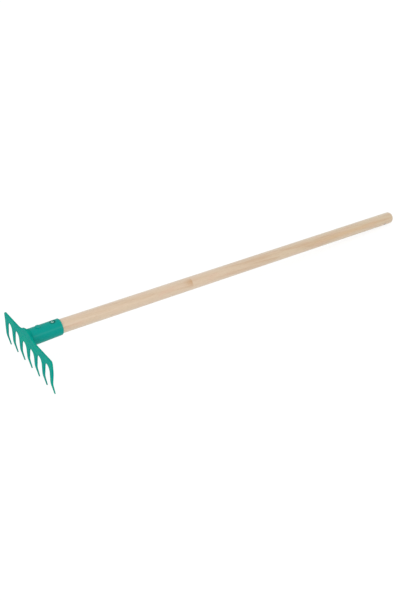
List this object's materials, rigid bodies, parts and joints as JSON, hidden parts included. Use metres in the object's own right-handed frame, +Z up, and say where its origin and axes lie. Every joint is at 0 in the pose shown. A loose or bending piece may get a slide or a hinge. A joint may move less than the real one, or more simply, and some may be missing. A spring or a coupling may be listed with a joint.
{
  "type": "sand rake",
  "caption": "Toy sand rake: a moulded plastic head with a row of hooked tines, screwed to a long round wooden handle.",
  "frame": {"origin": "on the floor, under the middle of the tool's length and width, with the rake resting on its tine tips and the end of its handle", "axes": "+Y runs along the tool from the head to the handle's free end, +X runs along the blade, +Z is up"},
  "size_m": [0.1612, 0.766, 0.0675],
  "materials": {
    "green_plastic": "satin, as moulded",
    "beech": "sanded, pale lacquer",
    "screw_steel": "zinc plated"
  },
  "bodies": {
    "root": {"rake_head": "green_plastic", "handle": "beech", "fixing_screw": "screw_steel"}
  },
  "joints": []
}
